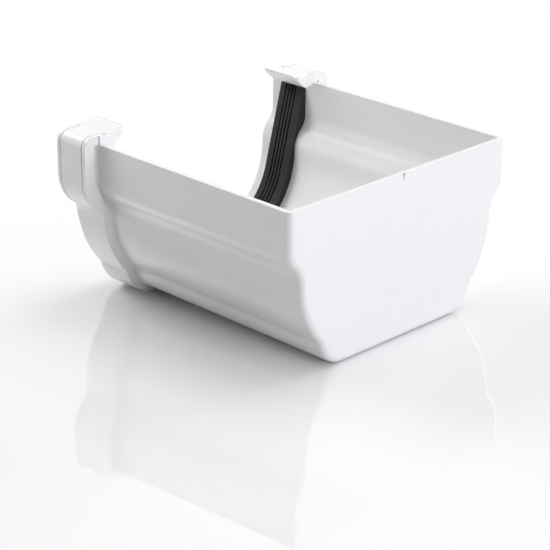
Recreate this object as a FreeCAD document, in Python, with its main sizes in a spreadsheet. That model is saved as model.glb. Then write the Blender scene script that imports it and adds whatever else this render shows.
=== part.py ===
import FreeCAD, Part
import math
import os
import types

import Sketcher

# Gutter end cap of ogee section: a closed channel with a seal housing near its mouth, two clips that
# hook over the gutter's rims, and a ribbed rubber seal. Lengths in millimetres, angles in degrees.
# Each body is drawn with X = 0 at the mouth and X rising to the end wall, Y across, Z = 0 at the rim.

START, END, CENTRE = range(1, 4)
ACROSS_AXIS, UP_AXIS = range(-1, -3, -1)
ORIGIN = (ACROSS_AXIS, START)
QUARTER_TURN = math.degrees(math.pi / 2)

doc = FreeCAD.newDocument("gutter_end_cap")

# Driving sizes
SIZES = (
    ("cap_length", 119.2),
    ("channel_width", 112.0),
    ("channel_depth", 62.6),
    ("wall", 2.15),
    ("band_height", 14.2),
    ("step_inset", 6.0),
    ("step_height", 13.8),
    ("hollow_inset", 11.7),
    ("hollow_rise", 8.0),
    ("hollow_radius", 4.6),
    ("sole_radius", 11.4),
    ("end_radius", 2.5),
    ("corner_width", 0.6),
    ("lip_length", 3.6),
    ("bead_length", 16.4),
    ("bead_step", 3.0),
    ("shoulder_wall", 1.5),
    ("shoulder_share", 0.7),
    ("nose_share", 0.4),
    ("tongue_start", 5.4),
    ("tongue_width", 17.2),
    ("tongue_reach", 12.1),
    ("tongue_rise", 0.5),
    ("tip_rise", 0.6),
    ("tip_run", 0.5),
    ("tip_height", 0.7),
    ("tip_corner", 1.6),
    ("root_width", 3.0),
    ("hook_reach", 6.0),
    ("hook_drop", 1.5),
    ("hook_bow", 21.0),
    ("clip_height", 3.3),
    ("strap_start", 6.2),
    ("strap_width", 15.6),
    ("strap_stand", 3.65),
    ("strap_corner", 4.0),
    ("strap_straight", 13.6),
    ("strap_wall", 2.0),
    ("line_margin", 1.5),
    ("line_width", 0.5),
    ("line_depth", 0.35),
    ("line_share", 0.8),
    ("notch_length", 1.4),
    ("notch_width", 0.9),
    ("notch_depth", 1.0),
    ("gate_width", 1.4),
    ("gate_height", 3.2),
    ("gate_depth", 0.5),
    ("seal_clearance", 0.1),
    ("seal_top", 1.4),
    ("seal_stand", 2.3),
    ("seal_lean", 15.0),
    ("seal_bend", 29.8),
    ("seal_sole", 4.2),
    ("groove_start", 2.8),
    ("groove_width", 0.8),
    ("groove_pitch", 1.7),
    ("groove_depth", 0.9),
    ("groove_count", 4),
    ("cut_margin", 1.0),
)

sheet = doc.addObject("Spreadsheet::Sheet", "Dimensions")
for row, (name, value) in enumerate(SIZES, start=1):
    sheet.set("A%d" % row, name)
    sheet.set("B%d" % row, str(value))
    sheet.setAlias("B%d" % row, name)
doc.recompute()


class Size(float):
    """A number together with the sheet formula it is worked out from."""

    def __new__(cls, value, formula):
        size = super().__new__(cls, value)
        size.formula = formula
        return size

    def __add__(self, other):
        return Size(float(self) + float(other), "(%s + %s)" % (self.formula, formula_of(other)))

    def __sub__(self, other):
        return Size(float(self) - float(other), "(%s - %s)" % (self.formula, formula_of(other)))

    def __mul__(self, other):
        return Size(float(self) * float(other), "(%s * %s)" % (self.formula, formula_of(other)))

    def __truediv__(self, other):
        return Size(float(self) / float(other), "(%s / %s)" % (self.formula, formula_of(other)))

    def __neg__(self):
        return Size(-float(self), "(-1 * %s)" % self.formula)


def formula_of(number):
    """The sheet formula of a size, or the plain number."""
    return number.formula if isinstance(number, Size) else repr(number)


def root(size):
    """Square root of a size."""
    return Size(math.sqrt(size), "sqrt(%s)" % size.formula)


def cosine(angle):
    """Cosine of an angle in degrees."""
    return Size(math.cos(math.radians(angle)), "cos(%s)" % angle.formula)


def slope(angle):
    """Tangent of an angle in degrees."""
    return Size(math.tan(math.radians(angle)), "tan(%s)" % angle.formula)


s = types.SimpleNamespace(**{name: Size(value, "Dimensions." + name) for name, value in SIZES})
rim = Size(0.0, "0")
half_width = s.channel_width / 2


# Sketches across the channel, and level with its rim

def origin_part(body, role):
    """The plane or axis of a body's origin with the given role."""
    return next(part for part in body.Origin.OriginFeatures if part.Role == role)


def cross_sketch(body, name, station):
    """A sketch square to the channel at the given distance from the mouth."""
    sketch = body.newObject("Sketcher::SketchObject", name)
    sketch.AttachmentSupport = [(origin_part(body, "YZ_Plane"), "")]
    sketch.MapMode = "FlatFace"
    sketch.setExpression(".AttachmentOffset.Base.z", station.formula)
    return sketch


def level_sketch(body, name, height):
    """A sketch level with the rim at a height over it, turned so that its own upright points to the mouth."""
    sketch = body.newObject("Sketcher::SketchObject", name)
    sketch.AttachmentSupport = [(origin_part(body, "XY_Plane"), "")]
    sketch.MapMode = "FlatFace"
    sketch.AttachmentOffset = FreeCAD.Placement(FreeCAD.Vector(), FreeCAD.Rotation(QUARTER_TURN, 0, 0))
    sketch.setExpression(".AttachmentOffset.Base.z", height.formula)
    return sketch


def tie(sketch, kind, *parts, size):
    """Add a dimension and bind it to its sheet formula."""
    number = sketch.addConstraint(Sketcher.Constraint(kind, *parts, float(size)))
    sketch.setExpression("Constraints[%d]" % number, size.formula)


def tie_across(sketch, point, side, size):
    """Hold a point at a distance from the middle plane, on one side of it."""
    ends = (*ORIGIN, *point) if side > 0 else (*point, *ORIGIN)
    tie(sketch, "DistanceX", *ends, size=size)


def tie_height(sketch, point, height):
    """Hold a point at a height over the rim, or on the rim."""
    if float(height) == 0.0:
        sketch.addConstraint(Sketcher.Constraint("PointOnObject", *point, ACROSS_AXIS))
    elif height > 0:
        tie(sketch, "DistanceY", *ORIGIN, *point, size=height)
    else:
        tie(sketch, "DistanceY", *point, *ORIGIN, size=-height)


def add_line(sketch, first, last):
    """A straight line between two points given as (across, height)."""
    ends = [FreeCAD.Vector(float(y), float(z), 0) for y, z in (first, last)]
    return sketch.addGeometry(Part.LineSegment(*ends), False)


def add_arc(sketch, side, centre, radius, low, high):
    """An arc drawn on the +Y side by centre, radius and two angles, or its mirror image on the other side.

    Returns its number, then the ends that lie at the low and at the high angle."""
    middle = FreeCAD.Vector(side * float(centre[0]), float(centre[1]), 0)
    circle = Part.Circle(middle, FreeCAD.Vector(0, 0, 1), float(radius))
    first, last = (low, high) if side > 0 else (math.pi - high, math.pi - low)
    number = sketch.addGeometry(Part.ArcOfCircle(circle, first, last), False)
    return (number, START, END) if side > 0 else (number, END, START)


def touch(sketch, first, last):
    """Join two ends so that one curve runs smoothly into the next."""
    sketch.addConstraint(Sketcher.Constraint("Tangent", *first, *last))


def join(sketch, first, last):
    """Join two ends."""
    sketch.addConstraint(Sketcher.Constraint("Coincident", *first, *last))


def close_between(sketch, first, last):
    """Draw a line from one end point to another."""
    ends = [sketch.getPoint(*end) for end in (first, last)]
    number = add_line(sketch, *[(end.x, end.y) for end in ends])
    join(sketch, first, (number, START))
    join(sketch, (number, END), last)


def draw_section(sketch, offset, top):
    """Draw the channel's cross-section, grown outward by an offset, from a height down and round.

    Each side has an upright band, a step of two arcs, a belly arc, a hollow and a rounded sole corner,
    all tangent; the arcs keep their centres for every offset. Returns the top ends of both sides."""
    step_radius = (s.step_inset * s.step_inset + s.step_height * s.step_height) / (s.step_inset * 4)
    belly_top = -(s.band_height + s.step_height)
    belly_face = half_width - s.step_inset
    hollow = (half_width - s.hollow_inset, s.hollow_rise - s.channel_depth)
    out, drop = float(hollow[0] - belly_face), float(hollow[1] - belly_top)
    belly_radius = (out**2 + drop**2 - s.hollow_radius**2) / (2 * (s.hollow_radius - out))
    reach = float(s.hollow_radius + s.sole_radius)
    sole_lift = math.asin(float(s.sole_radius - s.hollow_rise) / reach)
    step_angle = math.atan2(s.step_height, float(step_radius) * 2 - s.step_inset)
    belly_angle = math.atan2(-drop, out + belly_radius)
    sole = (float(hollow[0]) - reach * math.cos(sole_lift), float(s.sole_radius - s.channel_depth))
    foot = (belly_face + step_radius, belly_top)
    bottom = -(s.channel_depth + offset)

    flat = add_line(sketch, (sole[0], bottom), (-sole[0], bottom))
    sketch.addConstraint(Sketcher.Constraint("Horizontal", flat))
    tie_height(sketch, (flat, START), bottom)
    tops = []
    for side, flat_end in ((1, START), (-1, END)):
        face = side * float(half_width + offset)
        band = add_line(sketch, (face, top), (face, -s.band_height))
        head, head_low, head_high = add_arc(
            sketch, side, (half_width - step_radius, -s.band_height), step_radius + offset, -step_angle, 0)
        heel, heel_low, heel_high = add_arc(
            sketch, side, foot, step_radius - offset, math.pi - step_angle, math.pi)
        belly, belly_low, belly_high = add_arc(
            sketch, side, (belly_face - belly_radius, belly_top), belly_radius + offset, -belly_angle, 0)
        dip, dip_low, dip_high = add_arc(
            sketch, side, hollow, s.hollow_radius - offset, math.pi - belly_angle, math.pi - sole_lift)
        toe, toe_low, toe_high = add_arc(
            sketch, side, sole, s.sole_radius + offset, -math.pi / 2, -sole_lift)
        sketch.addConstraint(Sketcher.Constraint("Vertical", band))
        tie_across(sketch, (band, START), side, half_width + offset)
        tie_height(sketch, (band, START), top)
        tie_height(sketch, (band, END), -s.band_height)
        touch(sketch, (band, END), (head, head_high))
        touch(sketch, (head, head_low), (heel, heel_low))
        touch(sketch, (heel, heel_high), (belly, belly_high))
        touch(sketch, (belly, belly_low), (dip, dip_low))
        touch(sketch, (dip, dip_high), (toe, toe_high))
        touch(sketch, (toe, toe_low), (flat, flat_end))
        tie(sketch, "Radius", head, size=step_radius + offset)
        tie(sketch, "Radius", heel, size=step_radius - offset)
        tie(sketch, "Radius", dip, size=s.hollow_radius - offset)
        tie(sketch, "Radius", toe, size=s.sole_radius + offset)
        tie_height(sketch, (heel, heel_high), belly_top)
        sketch.addConstraint(Sketcher.Constraint("Horizontal", heel, heel_high, belly, CENTRE))
        tie_across(sketch, (dip, CENTRE), side, hollow[0])
        tie_height(sketch, (dip, CENTRE), hollow[1])
        tops.append((band, START))
    return tops


def draw_bend(sketch, offset, top):
    """Draw the seal's inner face, grown outward by an offset: two leaning sides, two bends and a flat.

    Returns the top ends of both sides."""
    lean = slope(s.seal_lean)
    stretch = cosine(s.seal_lean)
    level = s.seal_sole - s.channel_depth - offset
    bend_height = s.seal_sole - s.channel_depth + s.seal_bend
    bend_across = half_width - s.seal_stand + bend_height * lean - s.seal_bend / stretch
    top_across = half_width - s.seal_stand + offset / stretch + top * lean
    radius = s.seal_bend + offset
    angle = math.radians(s.seal_lean)
    side_end = (
        float(bend_across) + float(radius) * math.cos(angle),
        float(bend_height) - float(radius) * math.sin(angle))

    flat = add_line(sketch, (bend_across, level), (-bend_across, level))
    sketch.addConstraint(Sketcher.Constraint("Horizontal", flat))
    tie_height(sketch, (flat, START), level)
    tops = []
    for side, flat_end in ((1, START), (-1, END)):
        line = add_line(sketch, (side * float(top_across), top), (side * side_end[0], side_end[1]))
        bend, bend_low, bend_high = add_arc(
            sketch, side, (bend_across, bend_height), radius, -math.pi / 2, -angle)
        tie_across(sketch, (line, START), side, top_across)
        tie_height(sketch, (line, START), top)
        touch(sketch, (line, END), (bend, bend_high))
        touch(sketch, (bend, bend_low), (flat, flat_end))
        tie(sketch, "Radius", bend, size=radius)
        tie_across(sketch, (bend, CENTRE), side, bend_across)
        tops.append((line, START))
    return tops


def draw_loop(sketch, corners, arcs=None):
    """Draw a closed outline on both sides through corners given as (across, height).

    arcs gives, by number, the legs that are arcs: their radius, and whether they turn left on the +Y side."""
    arcs = arcs or {}
    for side in (1, -1):
        legs = []
        for number, first in enumerate(corners):
            last = corners[(number + 1) % len(corners)]
            ends = [FreeCAD.Vector(side * float(y), float(z), 0) for y, z in (first, last)]
            if number in arcs:
                radius, left = arcs[number]
                turn = 1 if left == (side > 0) else -1
                chord = ends[1] - ends[0]
                normal = FreeCAD.Vector(-chord.y, chord.x, 0).normalize() * turn
                sagitta = radius - math.sqrt(float(radius)**2 - (chord.Length / 2)**2)
                middle = (ends[0] + ends[1]) / 2 - normal * float(sagitta)
                leg = sketch.addGeometry(Part.Arc(ends[0], middle, ends[1]), False)
                low = sketch.getPoint(leg, START)
                forward = low.distanceToPoint(ends[0]) < low.distanceToPoint(ends[1])
                tie(sketch, "Radius", leg, size=radius)
                legs.append((leg, START, END) if forward else (leg, END, START))
            else:
                leg = sketch.addGeometry(Part.LineSegment(*ends), False)
                legs.append((leg, START, END))
        for number, (leg, first, last) in enumerate(legs):
            following = legs[(number + 1) % len(legs)]
            join(sketch, (leg, last), following[:2])
            across, height = corners[number]
            tie_across(sketch, (leg, first), side, across)
            tie_height(sketch, (leg, first), height)


# Features along the channel, with edges found to within a tolerance

TOLERANCE = 0.001


def add_pad(body, sketch, name, length):
    """Pad a sketch toward the end wall."""
    pad = body.newObject("PartDesign::Pad", name)
    pad.Profile = sketch
    pad.setExpression("Length", length.formula)
    doc.recompute()
    return pad


def add_pocket(body, sketch, name, length, along=True):
    """Cut a sketch along its normal, toward the end wall, or against it, downward."""
    pocket = body.newObject("PartDesign::Pocket", name)
    pocket.Profile = sketch
    pocket.Reversed = along
    pocket.setExpression("Length", length.formula)
    doc.recompute()
    return pocket


def add_row(body, feature, name, length, count):
    """Repeat a feature in a row along the channel."""
    row = body.newObject("PartDesign::LinearPattern", name)
    row.Originals = [feature]
    row.Direction = (origin_part(body, "X_Axis"), [""])
    row.setExpression("Length", length.formula)
    if isinstance(count, Size):
        row.setExpression("Occurrences", count.formula)
    else:
        row.Occurrences = count
    body.Tip = row
    doc.recompute()
    return row


def edges_at(shape, station, keep):
    """Names of the edges that lie wholly at a distance from the mouth and pass the test keep."""
    names = []
    for number, edge in enumerate(shape.Edges, start=1):
        box = edge.BoundBox
        if max(abs(box.XMin - station), abs(box.XMax - station)) < TOLERANCE and keep(edge):
            names.append("Edge%d" % number)
    return names


def below_rim(edge):
    """Whether an edge leaves the rim's plane."""
    return edge.BoundBox.ZMin < -TOLERANCE


def middle_of(edge):
    """The middle point of an edge."""
    return edge.valueAt((edge.FirstParameter + edge.LastParameter) / 2)


def add_round(body, base, name, edges, radius):
    """Round the named edges of the last feature."""
    fillet = body.newObject("PartDesign::Fillet", name)
    fillet.Base = (base, edges)
    fillet.setExpression("Radius", radius.formula)
    doc.recompute()
    return fillet


def add_chamfer(body, base, name, edges, width):
    """Chamfer the named edges of the last feature."""
    chamfer = body.newObject("PartDesign::Chamfer", name)
    chamfer.Base = (base, edges)
    chamfer.setExpression("Size", width.formula)
    doc.recompute()
    return chamfer


def place(body):
    """Put a body in the shared frame: middle of the length, middle plane, underside of the housing."""
    body.setExpression(".Placement.Base.x", "-Dimensions.cap_length / 2")
    body.setExpression(".Placement.Base.z", "Dimensions.channel_depth + Dimensions.bead_step")


# Cap moulding: channel and seal housing

cap = doc.addObject("PartDesign::Body", "end_cap_body")
place(cap)
doc.recompute()

bead_end = s.lip_length + s.bead_length
recess_start = s.lip_length + s.wall
recess_end = bead_end - s.shoulder_wall
recess_offset = s.bead_step - s.wall


def section_sketch(body, name, station, offset, top):
    """A sketch that holds one closed cross-section of the channel."""
    sketch = cross_sketch(body, name, station)
    tops = draw_section(sketch, offset, top)
    close_between(sketch, *tops)
    return sketch


channel = add_pad(cap, section_sketch(cap, "channel_section", rim, rim, rim), "channel", s.cap_length)
bead = add_pad(
    cap, section_sketch(cap, "bead_section", s.lip_length, s.bead_step, rim), "bead", s.bead_length)


def on_channel(shape, step):
    """A test for edges where the channel's own face runs on past the housing in the given direction."""
    ahead = FreeCAD.Vector(step, 0, 0)
    return lambda edge: below_rim(edge) and shape.isInside(middle_of(edge) + ahead, TOLERANCE, True)


def off_channel(shape, step):
    """A test for edges of the housing's outer face."""
    inner = on_channel(shape, step)
    return lambda edge: below_rim(edge) and not inner(edge)


glance = s.end_radius / 10
end_edges = edges_at(bead.Shape, s.cap_length, below_rim)
end_round = add_round(cap, bead, "end_round", end_edges, s.end_radius)
shoulder_edges = edges_at(end_round.Shape, bead_end, on_channel(end_round.Shape, glance))
shoulder = add_round(cap, end_round, "shoulder_round", shoulder_edges, s.bead_step * s.shoulder_share)
nose_edges = edges_at(shoulder.Shape, s.lip_length, off_channel(shoulder.Shape, -glance))
nose = add_chamfer(cap, shoulder, "nose_chamfer", nose_edges, s.bead_step * s.nose_share)

cavity = add_pocket(
    cap, section_sketch(cap, "cavity_section", recess_end, -s.wall, s.cut_margin), "cavity",
    s.cap_length - s.wall - recess_end)
recess = add_pocket(
    cap, section_sketch(cap, "recess_section", recess_start, recess_offset, s.cut_margin), "recess",
    recess_end - recess_start)
mouth = add_pocket(
    cap, section_sketch(cap, "mouth_section", rim, -s.wall, s.cut_margin), "mouth", recess_start)
inner_edges = edges_at(mouth.Shape, s.cap_length - s.wall, below_rim)
inner_chamfer = add_chamfer(cap, mouth, "inner_chamfer", inner_edges, s.corner_width)

# Clips: a hooked tongue over each rim, carried by a hollow strap on the housing's outer side

tongue_root = half_width - s.root_width
tongue_tip = half_width - s.tongue_reach
lip_foot = tongue_tip + s.tip_run
lip_level = s.clip_height + s.tongue_rise
tongue_top = lip_level + s.tip_rise
tongue_run = tongue_root - lip_foot
sweep = (tongue_run * tongue_run + s.tongue_rise * s.tongue_rise) / (s.tongue_rise * 2)
tongue_sketch = cross_sketch(cap, "tongue_section", s.tongue_start)
draw_loop(
    tongue_sketch,
    (
        (half_width, rim),
        (half_width, s.clip_height),
        (tongue_root, s.clip_height),
        (lip_foot, lip_level),
        (tongue_tip, tongue_top),
        (tongue_tip, tongue_top - s.tip_height),
        (half_width - s.hook_reach, -s.hook_drop),
    ),
    {2: (sweep, False), 5: (s.hook_bow, True)})
tongue = add_pad(cap, tongue_sketch, "tongue", s.tongue_width)

tongue_end = s.tongue_start + s.tongue_width
corner_sketch = level_sketch(cap, "tip_corner_plan", tongue_top + s.cut_margin)
draw_loop(
    corner_sketch,
    (
        (tongue_tip - s.cut_margin, s.tip_corner + s.cut_margin - tongue_end),
        (tongue_tip - s.cut_margin, -(tongue_end + s.cut_margin)),
        (tongue_tip + s.tip_corner + s.cut_margin, -(tongue_end + s.cut_margin)),
    ))
tip_corners = add_pocket(
    cap, corner_sketch, "tip_corners", tongue_top + s.cut_margin + s.hook_drop, along=False)

housing_face = half_width + s.bead_step
strap_face = housing_face + s.strap_stand
strap_foot = -(s.band_height + s.step_height)
wall_middle = housing_face - s.wall / 2
foot_across = wall_middle - s.step_inset
foot_in = strap_face - foot_across
foot_drop = -s.strap_straight - strap_foot
strap_bow = (foot_in * foot_in + foot_drop * foot_drop) / (foot_in * 2)
strap_sketch = cross_sketch(cap, "strap_section", s.strap_start)
draw_loop(
    strap_sketch,
    (
        (half_width - s.root_width / 2, rim),
        (half_width - s.root_width / 2, s.clip_height),
        (strap_face - s.strap_corner, s.clip_height),
        (strap_face, s.clip_height - s.strap_corner),
        (strap_face, -s.strap_straight),
        (foot_across, strap_foot),
        (wall_middle, -s.band_height),
        (wall_middle, rim),
    ),
    {2: (s.strap_corner, False), 4: (strap_bow, False)})
strap = add_pad(cap, strap_sketch, "strap", s.strap_width)

core_sketch = cross_sketch(cap, "strap_core_section", s.strap_start)
draw_loop(
    core_sketch,
    (
        (housing_face, rim),
        (strap_face - s.strap_wall, rim),
        (strap_face - s.strap_wall, -s.band_height),
        (housing_face, -s.band_height),
    ))
strap_core = add_pocket(cap, core_sketch, "strap_core", s.strap_width - s.strap_wall)

# Fine sunk lines along the strap, and the notches where the strap's top meets the tongue

line_foot = -(s.band_height + s.step_height * s.line_share)
line_drop = -s.strap_straight - line_foot
bow_middle = strap_face - strap_bow
sunk_bow = strap_bow - s.line_depth
clear_bow = strap_bow + s.cut_margin
notch_end = tongue_root + s.notch_length / 2
line_sketch = cross_sketch(cap, "strap_line_section", s.strap_start + s.line_margin)
draw_loop(
    line_sketch,
    (
        (notch_end, s.clip_height - s.line_depth),
        (strap_face - s.strap_corner, s.clip_height - s.line_depth),
        (strap_face - s.line_depth, s.clip_height - s.strap_corner),
        (strap_face - s.line_depth, -s.strap_straight),
        (bow_middle + root(sunk_bow * sunk_bow - line_drop * line_drop), line_foot),
        (bow_middle + root(clear_bow * clear_bow - line_drop * line_drop), line_foot),
        (strap_face + s.cut_margin, -s.strap_straight),
        (strap_face + s.cut_margin, s.clip_height - s.strap_corner),
        (strap_face - s.strap_corner, s.clip_height + s.cut_margin),
        (notch_end, s.clip_height + s.cut_margin),
    ),
    {
        1: (s.strap_corner - s.line_depth, False),
        3: (sunk_bow, False),
        5: (clear_bow, True),
        7: (s.strap_corner + s.cut_margin, True),
    })
strap_line = add_pocket(cap, line_sketch, "strap_line", s.line_width)
strap_lines = add_row(
    cap, strap_line, "strap_lines", s.strap_width - s.line_margin * 2 - s.line_width, 2)

notch_start = notch_end - s.notch_length
notch_sketch = cross_sketch(cap, "notch_section", s.strap_start)
draw_loop(
    notch_sketch,
    (
        (notch_start, s.clip_height - s.notch_depth),
        (notch_end, s.clip_height - s.notch_depth),
        (notch_end, s.clip_height + s.cut_margin),
        (notch_start, s.clip_height + s.cut_margin),
    ))
notch = add_pocket(cap, notch_sketch, "notch", s.notch_width)
notches = add_row(cap, notch, "notches", s.strap_width - s.notch_width, 2)

# Gate mark: a small sunk wedge in the end wall's outer face, under the middle of the rim

gate_sketch = cross_sketch(cap, "gate_section", s.cap_length - s.gate_depth)
gate_left = add_line(gate_sketch, (-s.gate_width / 2, rim), (0, -s.gate_height))
gate_right = add_line(gate_sketch, (0, -s.gate_height), (s.gate_width / 2, rim))
gate_top = add_line(gate_sketch, (s.gate_width / 2, rim), (-s.gate_width / 2, rim))
join(gate_sketch, (gate_left, END), (gate_right, START))
join(gate_sketch, (gate_right, END), (gate_top, START))
join(gate_sketch, (gate_top, END), (gate_left, START))
tie_across(gate_sketch, (gate_left, START), -1, s.gate_width / 2)
tie_across(gate_sketch, (gate_right, END), 1, s.gate_width / 2)
tie_height(gate_sketch, (gate_left, START), rim)
tie_height(gate_sketch, (gate_right, END), rim)
tie_height(gate_sketch, (gate_left, END), -s.gate_height)
gate_sketch.addConstraint(Sketcher.Constraint("PointOnObject", gate_left, END, UP_AXIS))
gate = add_pocket(cap, gate_sketch, "gate_mark", s.gate_depth + s.cut_margin)

# Rubber seal: fills the recess from wall to wall, its inner face smooth from rim to sole and grooved

seal = doc.addObject("PartDesign::Body", "rubber_seal")
place(seal)
doc.recompute()

seal_start = recess_start + s.seal_clearance
seal_width = recess_end - recess_start - s.seal_clearance * 2
seal_sketch = cross_sketch(seal, "seal_section", seal_start)
outer_ends = draw_section(seal_sketch, recess_offset - s.seal_clearance, -s.seal_top)
inner_ends = draw_bend(seal_sketch, rim, -s.seal_top)
for outer_end, inner_end in zip(outer_ends, inner_ends):
    close_between(seal_sketch, outer_end, inner_end)
seal_strip = add_pad(seal, seal_sketch, "seal_strip", seal_width)

groove_sketch = cross_sketch(seal, "groove_section", seal_start + s.groove_start)
deep_ends = draw_bend(groove_sketch, s.groove_depth, s.cut_margin)
clear_ends = draw_bend(groove_sketch, -s.cut_margin, s.cut_margin)
for deep_end, clear_end in zip(deep_ends, clear_ends):
    close_between(groove_sketch, deep_end, clear_end)
groove = add_pocket(seal, groove_sketch, "groove", s.groove_width)
grooves = add_row(seal, groove, "grooves", s.groove_pitch * (s.groove_count - 1), s.groove_count)

# Checks and files

doc.recompute()
for item in doc.Objects:
    if "Invalid" in item.State or "Error" in item.State:
        raise RuntimeError("%s did not compute: %s" % (item.Name, item.State))
os.makedirs("parts", exist_ok=True)
for body in (cap, seal):
    if body.Shape.isNull() or not body.Shape.isValid() or len(body.Shape.Solids) != 1:
        raise RuntimeError("%s is not one valid solid" % body.Label)
    body.Shape.exportStep("parts/%s.step" % body.Label)
    print(body.Label, body.Shape.BoundBox, round(body.Shape.Volume))
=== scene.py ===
import math

import bmesh
import bpy
import numpy as np
from mathutils import Matrix, Vector


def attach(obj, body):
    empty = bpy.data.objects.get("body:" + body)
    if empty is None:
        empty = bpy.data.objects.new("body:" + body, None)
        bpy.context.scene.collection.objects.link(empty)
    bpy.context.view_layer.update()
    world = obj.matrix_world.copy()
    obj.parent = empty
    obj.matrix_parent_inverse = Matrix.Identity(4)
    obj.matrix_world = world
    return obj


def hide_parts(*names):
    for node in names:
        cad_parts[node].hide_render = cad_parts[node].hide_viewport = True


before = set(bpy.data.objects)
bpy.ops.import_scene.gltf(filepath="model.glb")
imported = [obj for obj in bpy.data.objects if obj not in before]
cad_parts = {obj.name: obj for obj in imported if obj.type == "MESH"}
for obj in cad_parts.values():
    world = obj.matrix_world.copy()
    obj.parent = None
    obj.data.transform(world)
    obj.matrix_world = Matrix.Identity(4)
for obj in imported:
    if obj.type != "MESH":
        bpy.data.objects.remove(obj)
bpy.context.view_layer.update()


# The cap: one injection-moulded piece of white PVC-U, channel, end wall, seal housing and clips in one.
# The tool leaves it smooth and lightly glossy, with a faint ripple where the melt flowed.
# It is drawn from its own solid, with the facets joined so that curved faces shade as curves.

FACET_JOIN = 1e-6
FLAT_WITHIN = math.radians(0.25)
SHARP_FROM = math.radians(28)
AREA_WEIGHT = 50
CAP_COLOUR = (0.878, 0.878, 0.882, 1.0)
CAP_PALE = (0.902, 0.902, 0.906, 1.0)
CAP_IOR = 1.53
CAP_ROUGHNESS = (0.29, 0.35)
CAP_EDGE_RADIUS = 0.0004
CAP_EDGE_SAMPLES = 6
FLOW_MARK_SCALE = 160.0
FLOW_MARK_DETAIL = 4.0
SATIN_SCALE = 2600.0
SATIN_DETAIL = 2.0
SATIN_STRENGTH = 0.06
SATIN_DEPTH = 0.00004


def joined_copy(node, name):
    """A copy of a solid's mesh, its flat facets joined: smooth over shallow edges, sharp over steep ones."""
    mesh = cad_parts[node].data.copy()
    mesh.name = name
    shape = bmesh.new()
    shape.from_mesh(mesh)
    bmesh.ops.remove_doubles(shape, verts=shape.verts, dist=FACET_JOIN)
    bmesh.ops.dissolve_limit(shape, angle_limit=FLAT_WITHIN, verts=[], edges=shape.edges)
    shape.to_mesh(mesh)
    shape.free()
    mesh.materials.clear()
    mesh.shade_smooth()
    mesh.set_sharp_from_angle(angle=SHARP_FROM)
    piece = bpy.data.objects.new(name, mesh)
    bpy.context.scene.collection.objects.link(piece)
    even = piece.modifiers.new("even_normals", "WEIGHTED_NORMAL")
    even.keep_sharp = True
    even.weight = AREA_WEIGHT
    return piece


def cap_material():
    """White moulded plastic: flow marks a few millimetres wide in colour and gloss, and a fine satin grain."""
    material = bpy.data.materials.new("white_pvc")
    material.use_nodes = True
    tree = material.node_tree
    shader = tree.nodes["Principled BSDF"]
    shader.inputs["IOR"].default_value = CAP_IOR
    place = tree.nodes.new("ShaderNodeTexCoord")
    flow = tree.nodes.new("ShaderNodeTexNoise")
    flow.inputs["Scale"].default_value = FLOW_MARK_SCALE
    flow.inputs["Detail"].default_value = FLOW_MARK_DETAIL
    tint = tree.nodes.new("ShaderNodeMix")
    tint.data_type = "RGBA"
    tint.inputs["A"].default_value = CAP_COLOUR
    tint.inputs["B"].default_value = CAP_PALE
    gloss = tree.nodes.new("ShaderNodeMapRange")
    gloss.inputs["To Min"].default_value, gloss.inputs["To Max"].default_value = CAP_ROUGHNESS
    grain = tree.nodes.new("ShaderNodeTexNoise")
    grain.inputs["Scale"].default_value = SATIN_SCALE
    grain.inputs["Detail"].default_value = SATIN_DETAIL
    rounding = tree.nodes.new("ShaderNodeBevel")
    rounding.samples = CAP_EDGE_SAMPLES
    rounding.inputs["Radius"].default_value = CAP_EDGE_RADIUS
    relief = tree.nodes.new("ShaderNodeBump")
    relief.inputs["Strength"].default_value = SATIN_STRENGTH
    relief.inputs["Distance"].default_value = SATIN_DEPTH
    tree.links.new(place.outputs["Object"], flow.inputs["Vector"])
    tree.links.new(flow.outputs["Fac"], tint.inputs["Factor"])
    tree.links.new(tint.outputs["Result"], shader.inputs["Base Color"])
    tree.links.new(flow.outputs["Fac"], gloss.inputs["Value"])
    tree.links.new(gloss.outputs["Result"], shader.inputs["Roughness"])
    tree.links.new(place.outputs["Object"], grain.inputs["Vector"])
    tree.links.new(grain.outputs["Fac"], relief.inputs["Height"])
    tree.links.new(rounding.outputs["Normal"], relief.inputs["Normal"])
    tree.links.new(relief.outputs["Normal"], shader.inputs["Normal"])
    return material


cap = joined_copy("end_cap_body", "moulded_cap")
cap.data.materials.append(cap_material())
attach(cap, "root")
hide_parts("end_cap_body")


# The seal: a strip of black rubber, moulded with fine ribs along its inner face.
# It is pressed into the housing behind the mouth's lip, where its own spring holds it.

SEAL_COLOUR = (0.031, 0.031, 0.033, 1.0)
SEAL_IOR = 1.5
SEAL_SHINE = 0.12
SEAL_ROUGHNESS = (0.55, 0.75)
RUBBER_GRAIN_SCALE = 900.0
RUBBER_GRAIN_DETAIL = 4.0
RUBBER_GRAIN_STRENGTH = 0.25
RUBBER_GRAIN_DEPTH = 0.0002


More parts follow.
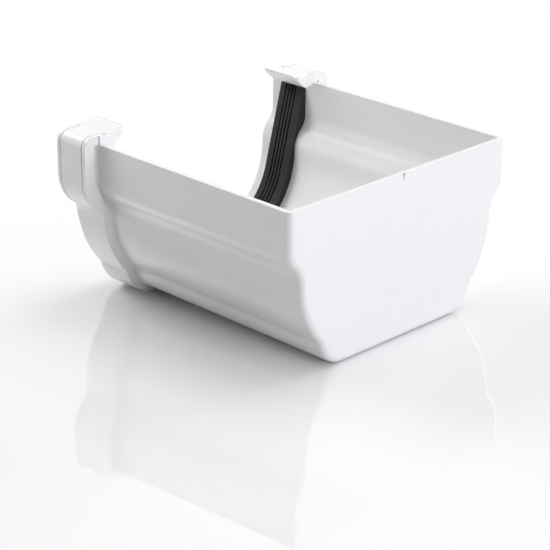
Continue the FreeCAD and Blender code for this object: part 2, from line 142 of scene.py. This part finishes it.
def seal_material():
    """Matt black rubber: one fine grain in both gloss and relief."""
    material = bpy.data.materials.new("black_rubber")
    material.use_nodes = True
    tree = material.node_tree
    shader = tree.nodes["Principled BSDF"]
    shader.inputs["IOR"].default_value = SEAL_IOR
    shader.inputs["Specular IOR Level"].default_value = SEAL_SHINE
    shader.inputs["Base Color"].default_value = SEAL_COLOUR
    place = tree.nodes.new("ShaderNodeTexCoord")
    grain = tree.nodes.new("ShaderNodeTexNoise")
    grain.inputs["Scale"].default_value = RUBBER_GRAIN_SCALE
    grain.inputs["Detail"].default_value = RUBBER_GRAIN_DETAIL
    gloss = tree.nodes.new("ShaderNodeMapRange")
    gloss.inputs["To Min"].default_value, gloss.inputs["To Max"].default_value = SEAL_ROUGHNESS
    relief = tree.nodes.new("ShaderNodeBump")
    relief.inputs["Strength"].default_value = RUBBER_GRAIN_STRENGTH
    relief.inputs["Distance"].default_value = RUBBER_GRAIN_DEPTH
    tree.links.new(place.outputs["Object"], grain.inputs["Vector"])
    tree.links.new(grain.outputs["Fac"], gloss.inputs["Value"])
    tree.links.new(gloss.outputs["Result"], shader.inputs["Roughness"])
    tree.links.new(grain.outputs["Fac"], relief.inputs["Height"])
    tree.links.new(relief.outputs["Normal"], shader.inputs["Normal"])
    return material


seal = joined_copy("rubber_seal", "ribbed_seal")
seal.data.materials.append(seal_material())
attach(seal, "root")
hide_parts("rubber_seal")


# The floor: a sheet of polished white acrylic that mirrors the cap. It lies a little out of level with the
# cap, because the cap stands on the underside of its seal housing and on the lower edge of its end wall.
# It shows white, and its greyer body sends less light back up to the cap.

HOUSING_END = -0.0396
SOLE_END = 0.0571
SOLE_HEIGHT = 0.0030
FLOOR_REACH = 6.0
FLOOR_GAP = 0.00005
FLOOR_WHITE = (1.0, 1.0, 1.0, 1.0)
FLOOR_BODY = (0.62, 0.62, 0.62, 1.0)
SKIN_IOR = 2.8
SKIN_ROUGHNESS = 0.03


def floor_corners():
    """Four corners of a plane: its height grows with the distance from the housing, at the sole's own slope."""
    along = np.array([-FLOOR_REACH, FLOOR_REACH, FLOOR_REACH, -FLOOR_REACH])
    across = np.array([-FLOOR_REACH, -FLOOR_REACH, FLOOR_REACH, FLOOR_REACH])
    rise = (along - HOUSING_END) * SOLE_HEIGHT / (SOLE_END - HOUSING_END) - FLOOR_GAP
    return np.column_stack([along, across, rise])


def in_sight(tree):
    """An output that is 1 for rays from the camera, from gloss or through clear things, and 0 for others."""
    path = tree.nodes.new("ShaderNodeLightPath")
    direct = tree.nodes.new("ShaderNodeMath")
    direct.operation = "MAXIMUM"
    seen = tree.nodes.new("ShaderNodeMath")
    seen.operation = "MAXIMUM"
    tree.links.new(path.outputs["Is Camera Ray"], direct.inputs[0])
    tree.links.new(path.outputs["Is Glossy Ray"], direct.inputs[1])
    tree.links.new(direct.outputs["Value"], seen.inputs[0])
    tree.links.new(path.outputs["Is Transmission Ray"], seen.inputs[1])
    return seen.outputs["Value"]


def floor_material():
    """Polished white acrylic: a white body under a clear skin that mirrors what stands on it."""
    material = bpy.data.materials.new("white_acrylic")
    material.use_nodes = True
    tree = material.node_tree
    tree.nodes.remove(tree.nodes["Principled BSDF"])
    body = tree.nodes.new("ShaderNodeBsdfDiffuse")
    tone = tree.nodes.new("ShaderNodeMix")
    tone.data_type = "RGBA"
    tone.inputs["A"].default_value = FLOOR_BODY
    tone.inputs["B"].default_value = FLOOR_WHITE
    mirror = tree.nodes.new("ShaderNodeBsdfGlossy")
    mirror.inputs["Roughness"].default_value = SKIN_ROUGHNESS
    skin = tree.nodes.new("ShaderNodeFresnel")
    skin.inputs["IOR"].default_value = SKIN_IOR
    share = tree.nodes.new("ShaderNodeMath")
    share.operation = "MULTIPLY"
    polished = tree.nodes.new("ShaderNodeMixShader")
    seen = in_sight(tree)
    tree.links.new(seen, tone.inputs["Factor"])
    tree.links.new(tone.outputs["Result"], body.inputs["Color"])
    tree.links.new(skin.outputs["Fac"], share.inputs[0])
    tree.links.new(seen, share.inputs[1])
    tree.links.new(share.outputs["Value"], polished.inputs["Fac"])
    tree.links.new(body.outputs["BSDF"], polished.inputs[1])
    tree.links.new(mirror.outputs["BSDF"], polished.inputs[2])
    tree.links.new(polished.outputs["Shader"], tree.nodes["Material Output"].inputs["Surface"])
    return material


floor_mesh = bpy.data.meshes.new("acrylic_floor")
floor_mesh.from_pydata(floor_corners().tolist(), [], [(0, 1, 2, 3)])
floor = bpy.data.objects.new("acrylic_floor", floor_mesh)
bpy.context.scene.collection.objects.link(floor)
floor_mesh.materials.append(floor_material())


# The light: square soft boxes round the table, with their places and sides in metres and power in watts.
# Two wide ones hang high behind the cap, and small ones stand at the back, the mouth, the near corner and
# the end wall. A white tent shows behind it all and in the gloss, and gives no light of its own.

BOX_TARGET = Vector((0.0, 0.0, 0.03))
WIDE_BOX, SMALL_BOX = 3.0, 0.7
WHITE_LAMP = (1.0, 1.0, 1.0)
WARM_LAMP = (1.0, 0.99, 0.97)
COOL_LAMP = (0.945, 0.935, 1.0)
TENT_WHITE = (1.0, 1.0, 1.0, 1.0)
TENT_LIGHT, TENT_SHOWN = 0.0, 1.0


def soft_box(name, place, side, power, colour):
    """A square lamp that stands at a place and faces the cap."""
    lamp = bpy.data.lights.new(name, "AREA")
    lamp.size = side
    lamp.energy = power
    lamp.color = colour
    holder = bpy.data.objects.new(name, lamp)
    holder.location = place
    holder.rotation_euler = (BOX_TARGET - holder.location).to_track_quat("-Z", "Y").to_euler()
    bpy.context.scene.collection.objects.link(holder)


def studio_tent():
    """A world that is white in sight and dark to every other ray."""
    world = bpy.data.worlds.new("studio_tent")
    world.use_nodes = True
    tree = world.node_tree
    dark = tree.nodes["Background"]
    dark.inputs["Color"].default_value = TENT_WHITE
    dark.inputs["Strength"].default_value = TENT_LIGHT
    clean = tree.nodes.new("ShaderNodeBackground")
    clean.inputs["Color"].default_value = TENT_WHITE
    clean.inputs["Strength"].default_value = TENT_SHOWN
    choose = tree.nodes.new("ShaderNodeMixShader")
    tree.links.new(in_sight(tree), choose.inputs["Fac"])
    tree.links.new(dark.outputs["Background"], choose.inputs[1])
    tree.links.new(clean.outputs["Background"], choose.inputs[2])
    tree.links.new(choose.outputs["Shader"], tree.nodes["World Output"].inputs["Surface"])
    return world


soft_box("high_mouth_box", (-1.0, 1.0, 2.8), WIDE_BOX, 29.5, WHITE_LAMP)
soft_box("high_end_box", (1.1, 1.1, 2.75), WIDE_BOX, 44.0, WHITE_LAMP)
soft_box("back_box", (0.0, 1.3, 0.35), SMALL_BOX, 7.6, WHITE_LAMP)
soft_box("mouth_box", (-1.1, -0.2, 0.75), SMALL_BOX, 9.4, WARM_LAMP)
soft_box("near_box", (-0.9, -0.9, 0.3), SMALL_BOX, 3.5, WARM_LAMP)
soft_box("end_box", (1.25, 0.0, 0.4), SMALL_BOX, 9.7, COOL_LAMP)
bpy.context.scene.world = studio_tent()


# The camera: a long lens about 0.7 m away that looks down on the corner between the near side and the end
# wall. Azimuth is measured from the near side towards the end wall, and the roll is a fifth of a degree.

VIEW_AZIMUTH = math.radians(45.240)
VIEW_ELEVATION = math.radians(22.787)
VIEW_ROLL = math.radians(0.199)
CAMERA_PLACE = (0.47242, -0.47221, 0.29027)
SENSOR = 36.0
FOCAL_PIXELS = 1919.05
PHOTO_WIDTH = 550
NEAR_LIMIT, FAR_LIMIT = 0.01, 50.0

back = Vector((
    math.sin(VIEW_AZIMUTH) * math.cos(VIEW_ELEVATION),
    -math.cos(VIEW_AZIMUTH) * math.cos(VIEW_ELEVATION),
    math.sin(VIEW_ELEVATION)))
level_right = Vector((math.cos(VIEW_AZIMUTH), math.sin(VIEW_AZIMUTH), 0.0))
level_up = back.cross(level_right)
right = level_right * math.cos(VIEW_ROLL) + level_up * math.sin(VIEW_ROLL)
up = level_up * math.cos(VIEW_ROLL) - level_right * math.sin(VIEW_ROLL)
lens = bpy.data.cameras.new("photo_camera")
lens.sensor_width = SENSOR
lens.lens = FOCAL_PIXELS * SENSOR / PHOTO_WIDTH
lens.clip_start, lens.clip_end = NEAR_LIMIT, FAR_LIMIT
camera = bpy.data.objects.new("photo_camera", lens)
camera.matrix_world = Matrix((right, up, back)).transposed().to_4x4()
camera.location = CAMERA_PLACE
bpy.context.scene.collection.objects.link(camera)
bpy.context.scene.camera = camera
bpy.context.scene.view_settings.view_transform = "Standard"
